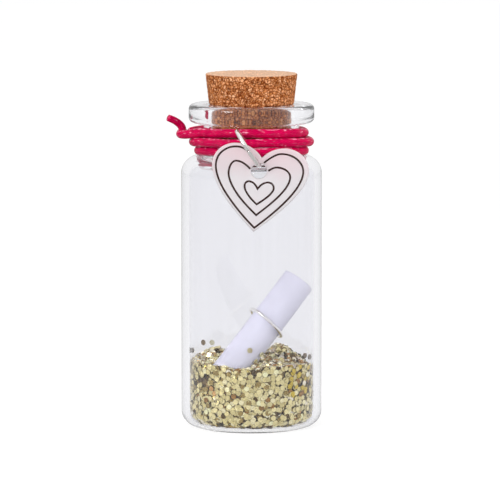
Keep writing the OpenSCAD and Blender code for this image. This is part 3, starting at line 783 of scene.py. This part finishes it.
class BOTTLE_OT_scroll(bpy.types.Operator):
    """Rolled sheet of paper and the wire band round it"""

    bl_idname = "bottle.scroll"
    bl_label = "Scroll"

    def execute(self, context):
        settings = context.scene.bottle_scroll
        # Uncoated wood-free paper, rolled by hand: matt, with a soft cloud of
        # fibres and a cut edge that shows its layers
        paper, tree, shader = new_material("uncoated_paper_rolled", Roughness=0.8, Specular_IOR_Level=0.25)
        place = add_node(tree, "ShaderNodeTexCoord").outputs["Object"]
        cloud = spots(tree, place, 3, 5.0).outputs["Fac"]
        tree.links.new(two_tones(tree, settings.paper, 0.96, 1.03, cloud), shader.inputs["Base Color"])
        felt = spots(tree, place, 0.3, 4.0)
        tree.links.new(bump(tree, felt.outputs["Fac"], 0.15, 0.03), shader.inputs["Normal"])

        thick, gap, turns_total, per_turn = 0.32, 0.28, 3.25, 72
        steps = int(turns_total * per_turn)
        ends = [0.02, 0.12, 0.4]
        levels = ends + list(np.linspace(1, SCROLL_LEN - 1, 24)) + [SCROLL_LEN - z for z in ends[::-1]]
        verts, faces = [], []
        loop = 2 * (steps + 1)
        for z in levels:
            # The sheet is thinner at its cut ends, and the inner turns stand back a little from them
            thin = thick * (1 if min(z, SCROLL_LEN - z) >= ends[1] else 0.6)
            back = 0.3 if z < SCROLL_LEN / 2 else -0.3
            outside = [(i, (thick - thin) / 2) for i in range(steps + 1)]
            inside = [(i, (thick + thin) / 2) for i in range(steps, -1, -1)]
            for i, deep in outside + inside:
                r = SCROLL_R - (thick + gap) * (turns_total - i / per_turn) - deep
                verts.append(self.place(r, 360 * i / per_turn, z + back * (1 - i / steps)))
        for j in range(len(levels) - 1):
            for k in range(loop):
                m = (k + 1) % loop
                faces.append([j * loop + k, j * loop + m, (j + 1) * loop + m, (j + 1) * loop + k])
        for base_at in (0, (len(levels) - 1) * loop):
            for i in range(steps):
                faces.append([base_at + i, base_at + i + 1, base_at + loop - 2 - i, base_at + loop - 1 - i])
        new_piece("paper_scroll", verts, faces, paper, "bottle", ["scroll"])

        # The band sits askew, with its butt joint towards the front
        band_tilt, band_down, band_fit, band_wire_r, band_gap = 5, 11.6, 0.1, 0.35, 0.15
        tilt = Matrix.Rotation(math.radians(band_tilt), 3, "Y")
        normal = SCROLL_TURN @ (tilt @ Vector((0, 0, 1)))
        across = SCROLL_TURN @ (tilt @ Vector((1, 0, 0)))
        centre = SCROLL_LOW + SCROLL_DIR * (SCROLL_LEN - band_down)
        over = normal.cross(across)
        toward = Vector((0.25, -1, 0))
        front = math.atan2(toward.dot(over), toward.dot(across))
        verts, faces = split_ring(centre, across, normal, SCROLL_R + band_fit + band_wire_r, band_wire_r,
                                  band_gap, front)
        new_piece("scroll_band_silver", verts, faces, silver_material(), "bottle",
                  ["scroll_ring"])
        return {"FINISHED"}

    def place(self, r, degrees, z):
        a = math.radians(degrees - 30)
        return tuple(SCROLL_LOW + SCROLL_TURN @ Vector((r * math.cos(a), r * math.sin(a), z)))


MOUNDS = [(-7.9, 3.2, 2.4, 4.2), (6.2, 5, 2.8, 5), (-5, 9, 0.6, 4), (12.5, 1, -1.9, 9), (-2, -10, -0.9, 6)]


def heap_top(x, y):
    """Height of the glitter's surface over a place, as the solid has it."""
    return 13.9 + sum(h * math.exp(-((x - cx) ** 2 + (y - cy) ** 2) / (2 * s)) for cx, cy, h, s in MOUNDS)


# Film colours. Those named shade and deep are painted shade, for plates that lie in shadow, and the
# near-white one is a painted glint
FILM = {"pale": "#F3E6AB", "straw": "#E5D799", "light": "#FFF5C4", "shade": "#A89257", "deep": "#5C4720",
        "bronze": "#9E763F", "copper": "#D9A96F", "yellow": "#D9BF4C", "flash": "#FFF6DC"}


def glitter_material(roughness):
    # Polyester film metallised with gold and punched into hexagons: flat bright plates, with painted shade
    # at their rim for the thin shadows that plates cast on one another
    gold, tree, shader = new_material("metallised_polyester_glitter", Metallic=1.0)
    film = add_node(tree, "ShaderNodeAttribute", attribute_name="film")
    place = add_node(tree, "ShaderNodeUVMap", uv_map="plate").outputs["UV"]
    reach = add_node(tree, "ShaderNodeVectorMath", links={0: place}, operation="LENGTH")
    rim_shade = add_node(tree, "ShaderNodeValToRGB", links={"Fac": reach.outputs["Value"]},
                   stops=[(0.78, 1.0), (0.92, 0.5)])
    tone = add_node(tree, "ShaderNodeMix", {"Factor": 1.0}, data_type="RGBA", blend_type="MULTIPLY")
    tree.links.new(film.outputs["Color"], tone.inputs["A"])
    tree.links.new(rim_shade.outputs["Color"], tone.inputs["B"])
    tree.links.new(tone.outputs["Result"], shader.inputs["Base Color"])
    spot = add_node(tree, "ShaderNodeTexCoord").outputs["Object"]
    scuffs = spots(tree, spot, 0.4, 2.0)
    worn = add_node(tree, "ShaderNodeValToRGB", links={"Fac": scuffs.outputs["Fac"]},
                    stops=[(0.3, roughness * 0.8), (0.7, roughness * 1.3)])
    tree.links.new(worn.outputs["Color"], shader.inputs["Roughness"])
    return gold


class BOTTLE_OT_glitter(bpy.types.Operator):
    """Heap of hexagon flakes, and the flakes that cling to the glass and the scroll"""

    bl_idname = "bottle.glitter"
    bl_label = "Glitter"

    def execute(self, context):
        settings = context.scene.bottle_glitter
        self.make_heap()
        self.make_flakes(settings)
        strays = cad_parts["stray_flakes"]
        strays.data.materials.clear()
        strays.data.materials.append(self.stray_material())
        return {"FINISHED"}

    def stray_material(self):
        # The same metallised film, punched: pale on single flakes, as light passes round them
        gold, tree, shader = new_material("metallised_polyester_single", Metallic=0.6, Roughness=0.35)
        place = add_node(tree, "ShaderNodeTexCoord").outputs["Object"]
        # Those near the sides stand edge on in shade and look brown
        parts = add_node(tree, "ShaderNodeSeparateXYZ", links={"Vector": place})
        away = add_node(tree, "ShaderNodeMath", links={0: parts.outputs["X"]}, operation="ABSOLUTE")
        side = add_node(tree, "ShaderNodeMapRange", {"From Min": 0, "From Max": 12 * MM},
                        {"Value": away.outputs["Value"]})
        ramp = add_node(tree, "ShaderNodeValToRGB", links={"Fac": side.outputs["Result"]},
                        stops=[(0.0, "#A99A72"), (0.1, "#CFC9A2"), (0.5, "#D9D6B0"), (0.66, "#B9B59C"),
                               (0.8, "#6B563A"), (1.0, "#4A3A22")])
        tree.links.new(ramp.outputs["Color"], shader.inputs["Base Color"])
        return gold

    def make_heap(self):
        # What shows between the flakes is more flakes in shade
        shade, tree, shader = new_material("glitter_in_shade", Metallic=0.5, Roughness=0.6)
        place = add_node(tree, "ShaderNodeTexCoord").outputs["Object"]
        cells = add_node(tree, "ShaderNodeTexVoronoi", {"Scale": 1 / (0.9 * MM)},
                         {"Vector": place})
        parts = add_node(tree, "ShaderNodeSeparateColor", links={"Color": cells.outputs["Color"]})
        ramp = add_node(tree, "ShaderNodeValToRGB", links={"Fac": parts.outputs["Red"]},
                        stops=[(0.0, "#33261A"), (0.5, "#5E4A2C"), (1.0, "#8A7346")])
        tree.links.new(ramp.outputs["Color"], shader.inputs["Base Color"])
        # Points on the top are marked by a height of 100 and then laid on the surface
        under, r_side, marked = 0.5, 12.75, 100
        profile = [(0, FLOOR), (5, FLOOR), (10.6, FLOOR), (12.1, FLOOR + 0.6), (r_side, 3.7), (r_side, 8)]
        profile += [(r_side * i / 12, marked) for i in range(12, 0, -1)] + [(0, marked)]
        verts, faces = revolve(profile, 96)
        verts = [(x, y, heap_top(x, y) - under) if z == marked else (x, y, z) for x, y, z in verts]
        new_piece("glitter_depth", verts, faces, shade, "bottle", ["glitter"])

    def make_flakes(self, settings):
        draw = random.Random(settings.seed)
        half = settings.flake / 2
        verts, faces, films, plate = [], [], [], []

        def off_scroll(p):
            # Only the paper itself keeps flakes away, not its line drawn on
            along = (Vector(p) - SCROLL_LOW).dot(SCROLL_DIR)
            return (Vector(p) - SCROLL_LOW).cross(SCROLL_DIR).length if along > -0.6 else 99.0

        def lay(at, normal, tilt, choices):
            axis = Vector((draw.uniform(-1, 1), draw.uniform(-1, 1), draw.uniform(-1, 1))).normalized()
            lean = math.tan(math.radians(min(80, tilt * draw.random())))
            up = (Vector(normal).normalized() + axis * lean).normalized()
            side = up.orthogonal().normalized()
            over = up.cross(side)
            spin = draw.uniform(0, math.pi / 3)
            first = len(verts)
            for k in range(6):
                a = spin + k * math.pi / 3
                verts.append(tuple(Vector(at) + half * (math.cos(a) * side + math.sin(a) * over)))
                plate.append((math.cos(a), math.sin(a)))
            faces.append([first + k for k in range(6)])
            name = draw.choices(list(choices), list(choices.values()))[0]
            shift = draw.uniform(0.86, 1.1)
            films.append(tuple(min(1, c * shift) for c in linear(FILM[name])) + (1.0,))

        # How often each tone of film comes up, by place in the heap
        near = {"pale": 36, "straw": 32, "light": 12, "shade": 9, "deep": 2, "bronze": 2, "copper": 0.3,
                "flash": 0.6}
        askew_glints_and_shade = {"flash": 56, "light": 26, "deep": 16, "shade": 2}
        golden = {"pale": 10, "straw": 10, "light": 6, "deep": 5, "bronze": 8, "yellow": 58, "flash": 3}
        behind_shaded = {"straw": 8, "shade": 24, "deep": 46, "bronze": 22}
        left = {"pale": 24, "straw": 8, "light": 32, "shade": 3, "deep": 3, "bronze": 4, "copper": 6,
                "flash": 30}
        right = {"pale": 18, "straw": 8, "light": 22, "shade": 5, "deep": 12, "bronze": 18, "copper": 8,
                 "flash": 28}

        # Against the wall: three layers of plates, each looser than the last, as step, share
        # that is kept, tilt and depth. Clumps of the outer two are missing, so dark places show
        layers = ((0.95, 0.88, 9, 0.0), (0.88, 0.88, 20, 0.22), (0.78, 1.0, 44, 0.5))
        wall_r = INNER_R - 0.14 - half * half / (2 * INNER_R)
        row_step, lowest, reach = 0.87, 1.75, 16.5
        # The line that plates follow round the heel of the bottle
        heel_mid, heel_z, heel_r, heel_top = 11.25, 3.35, 1.85, 3.4
        missing_under, loose_over, loose_in, loose_tilt = -0.29, 0.46, 0.35, 50
        # At the right of the front, most plates are of the golden kinds
        golden_from, golden_to, golden_z, golden_share = -0.95, -0.2, 7.5, 0.8
        for layer, (step, keep, tilt, deep) in enumerate(layers):
            columns = round(2 * math.pi * wall_r / step)
            rows = round(reach / (step * row_step))
            for row in range(rows):
                for column in range(columns):
                    a = 2 * math.pi * (column + 0.5 * (row % 2) + draw.uniform(-0.5, 0.5)) / columns
                    z = lowest + (row + draw.uniform(-0.5, 0.55)) * step * row_step
                    r = wall_r - deep - draw.random() * 0.16
                    x, y = r * math.cos(a), r * math.sin(a)
                    clump = noise.noise(Vector((a * 5.2, z * 0.55, layer * 3.1)))
                    if z > heap_top(x, y) + 0.1:
                        continue
                    if layer < 2 and z > 3.2 and (clump < missing_under or draw.random() > keep):
                        continue
                    # Here and there a few plates lie askew together, off the glass: their films are mostly
                    # painted glints, the rest painted shade
                    loose = layer < 2 and noise.noise(Vector((a * 4.1, z * 0.6, 9.7))) > loose_over
                    if loose:
                        r -= loose_in
                    if z < heel_top:
                        round_heel = math.sqrt(max(0.01, heel_r ** 2 - (heel_z - z) ** 2))
                        r = min(r, heel_mid + round_heel - 0.15 - deep)
                    p = (r * math.cos(a), r * math.sin(a), z)
                    if off_scroll(p) > SCROLL_R + 0.5:
                        way = math.atan2(math.sin(a), math.cos(a))
                        patch = golden_from < way < golden_to and z > golden_z
                        film = golden if layer < 2 and patch and draw.random() < golden_share else near
                        # The deepest layer takes the dark films, as painted shade
                        film = behind_shaded if layer == 2 else film
                        lay(p, (math.cos(a), math.sin(a), min(0, z - heel_top) * 0.6),
                            loose_tilt if loose else tilt, askew_glints_and_shade if loose else film)
        on_floor, floor_r, floor_z = 900, 11.6, 1.18
        for i in range(on_floor):
            a, r = draw.uniform(0, 2 * math.pi), floor_r * math.sqrt(draw.random())
            z = floor_z + draw.random() ** 1.5 * 0.3
            lay((r * math.cos(a), r * math.sin(a), z), (0, 0, 1), 8, near)
        over_top = 2500
        for i in range(over_top):
            a, r = draw.uniform(0, 2 * math.pi), (INNER_R - 0.75) * math.sqrt(draw.random())
            x, y = r * math.cos(a), r * math.sin(a)
            p = (x, y, heap_top(x, y) - 0.4 + draw.random() * 0.5)
            if off_scroll(p) > SCROLL_R + 0.55:
                lay(p, (0, -0.6, 1), 50, left if x < draw.uniform(-2, 4) else right)
        gold = glitter_material(0.3)
        piece = new_piece("glitter_flakes", verts, faces, gold, "bottle", smooth=False,
                          uv=plate, layer_name="plate")
        attribute = piece.data.attributes.new("film", "FLOAT_COLOR", "FACE")
        attribute.data.foreach_set("color", np.array(films, dtype=np.float32).ravel())


class BOTTLE_OT_stage(bpy.types.Operator):
    """Camera, lamps, pale world and floor"""

    bl_idname = "bottle.stage"
    bl_label = "Stage"

    def execute(self, context):
        settings = context.scene.bottle_stage
        data = bpy.data.cameras.new("camera")
        data.sensor_width = 36
        data.lens = settings.lens
        data.clip_start = 0.01
        camera = bpy.data.objects.new("camera", data)
        camera.location = (-0.31 * MM, -settings.distance, settings.height)
        camera.rotation_euler = (math.pi / 2 - settings.pitch, 0, 0)
        context.scene.collection.objects.link(camera)
        context.scene.camera = camera
        context.scene.view_settings.view_transform = "Standard"
        # Light runs many times through the lip and the base of thick glass,
        # and with fewer bounces these show black
        context.scene.cycles.max_bounces = 32
        context.scene.cycles.glossy_bounces = 24
        context.scene.cycles.transmission_bounces = 24
        self.make_world(context)
        self.make_floor(context)
        self.add_lamp(context, "key", (-0.5, -0.46, 0.42), 0.34, 2.8)
        # Behind the camera and from the right, soft, and with no shape of their own in glass or metal
        for lamp in (self.add_lamp(context, "front", (-0.1, -1.05, 0.14), 0.7, 4.8),
                     self.add_lamp(context, "fill", (0.75, -0.2, 0.22), 0.5, 3.4)):
            lamp.visible_glossy = False
            lamp.visible_transmission = False
        return {"FINISHED"}

    def seen_directly(self, tree):
        """1 where the camera looks, also through the glass, and 0 for all other light."""
        path = add_node(tree, "ShaderNodeLightPath")
        return add_node(tree, "ShaderNodeMath", links={0: path.outputs["Is Camera Ray"],
                                                       1: path.outputs["Is Transmission Ray"]},
                        operation="MAXIMUM")

    def make_world(self, context):
        world = bpy.data.worlds.new("pale_studio")
        world.use_nodes = True
        tree = world.node_tree
        tree.nodes.clear()
        seen = self.seen_directly(tree)
        # The room is bright overhead, grey at the sides and dim where the camera stands
        place = add_node(tree, "ShaderNodeTexCoord").outputs["Generated"]
        way = add_node(tree, "ShaderNodeVectorMath", {1: (0, 0.35, 0.9)}, {0: place},
                       operation="DOT_PRODUCT")
        room = add_node(tree, "ShaderNodeMapRange",
                        {"From Min": -0.35, "From Max": 0.9, "To Min": 0.3, "To Max": 1.0},
                        {"Value": way.outputs["Value"]})
        dim = add_node(tree, "ShaderNodeBackground", {"Color": (1, 1, 1, 1)},
                       {"Strength": room.outputs["Result"]})
        white = add_node(tree, "ShaderNodeBackground", {"Color": (1, 1, 1, 1), "Strength": 1.0})
        both = add_node(tree, "ShaderNodeMixShader", links={0: seen.outputs["Value"], 1: dim.outputs[0],
                                                            2: white.outputs[0]})
        add_node(tree, "ShaderNodeOutputWorld", links={"Surface": both.outputs[0]})
        context.scene.world = world

    def make_floor(self, context):
        mesh = bpy.data.meshes.new("floor")
        mesh.from_pydata([(-4, -4, 0), (4, -4, 0), (4, 4, 0), (-4, 4, 0)], [], [(0, 1, 2, 3)])
        floor = bpy.data.objects.new("floor", mesh)
        floor.location.z = -0.00005
        context.scene.collection.objects.link(floor)
        # Painted board: matt white, and it keeps the bottle's soft shadow
        paint, tree, shader = new_material("matt_white_board", Roughness=0.9, Specular_IOR_Level=0.0)
        seen = self.seen_directly(tree)
        # What the camera sees is mostly even white, and the rest takes shadow
        board = add_node(tree, "ShaderNodeMix", {"A": 0.42, "B": 0.2}, {"Factor": seen.outputs["Value"]})
        tree.links.new(board.outputs["Result"], shader.inputs["Base Color"])
        glow = add_node(tree, "ShaderNodeMath", {1: 0.835}, {0: seen.outputs["Value"]},
                        operation="MULTIPLY")
        shader.inputs["Emission Color"].default_value = (1, 1, 1, 1)
        tree.links.new(glow.outputs["Value"], shader.inputs["Emission Strength"])
        mesh.materials.append(paint)

    def add_lamp(self, context, name, at, size, power):
        data = bpy.data.lights.new(name, "AREA")
        data.shape = "DISK"
        data.size = size
        data.energy = power
        lamp = bpy.data.objects.new(name, data)
        lamp.location = at
        lamp.rotation_euler = (Vector((0, 0, 0.035)) - Vector(at)).to_track_quat("-Z", "Y").to_euler()
        context.scene.collection.objects.link(lamp)
        return lamp


class BOTTLE_PT_panel(bpy.types.Panel):
    """Buttons that build the bottle, piece by piece"""

    bl_label = "Corked bottle"
    bl_idname = "BOTTLE_PT_panel"
    bl_space_type = "VIEW_3D"
    bl_region_type = "UI"
    bl_category = "Bottle"

    def draw(self, context):
        for operator, group in STEPS:
            self.layout.operator(operator)
            if group:
                settings = getattr(context.scene, group)
                for name in settings.bl_rna.properties.keys():
                    if name not in ("rna_type", "name"):
                        self.layout.prop(settings, name)


STEPS = [("bottle.stage", "bottle_stage"), ("bottle.cord", "bottle_cord"),
         ("bottle.glass", "bottle_glass"), ("bottle.cork", "bottle_cork"), ("bottle.charm", "bottle_charm"),
         ("bottle.scroll", "bottle_scroll"), ("bottle.glitter", "bottle_glitter")]
GROUPS = {"bottle_stage": StageSettings, "bottle_cord": CordSettings, "bottle_glass": GlassSettings,
          "bottle_cork": CorkSettings, "bottle_charm": CharmSettings, "bottle_scroll": ScrollSettings,
          "bottle_glitter": GlitterSettings}
CLASSES = list(GROUPS.values()) + [BOTTLE_OT_stage, BOTTLE_OT_cord, BOTTLE_OT_glass, BOTTLE_OT_cork,
                                   BOTTLE_OT_charm, BOTTLE_OT_scroll, BOTTLE_OT_glitter, BOTTLE_PT_panel]


def register():
    for cls in CLASSES:
        bpy.utils.register_class(cls)
    for name, group in GROUPS.items():
        setattr(bpy.types.Scene, name, bpy.props.PointerProperty(type=group))


def unregister():
    for name in GROUPS:
        delattr(bpy.types.Scene, name)
    for cls in reversed(CLASSES):
        bpy.utils.unregister_class(cls)


def main():
    register()
    bpy.ops.bottle.stage()
    bpy.ops.bottle.cord()
    bpy.ops.bottle.glass()
    bpy.ops.bottle.cork()
    bpy.ops.bottle.charm()
    bpy.ops.bottle.scroll()
    bpy.ops.bottle.glitter()


if __name__ == "__main__":
    main()
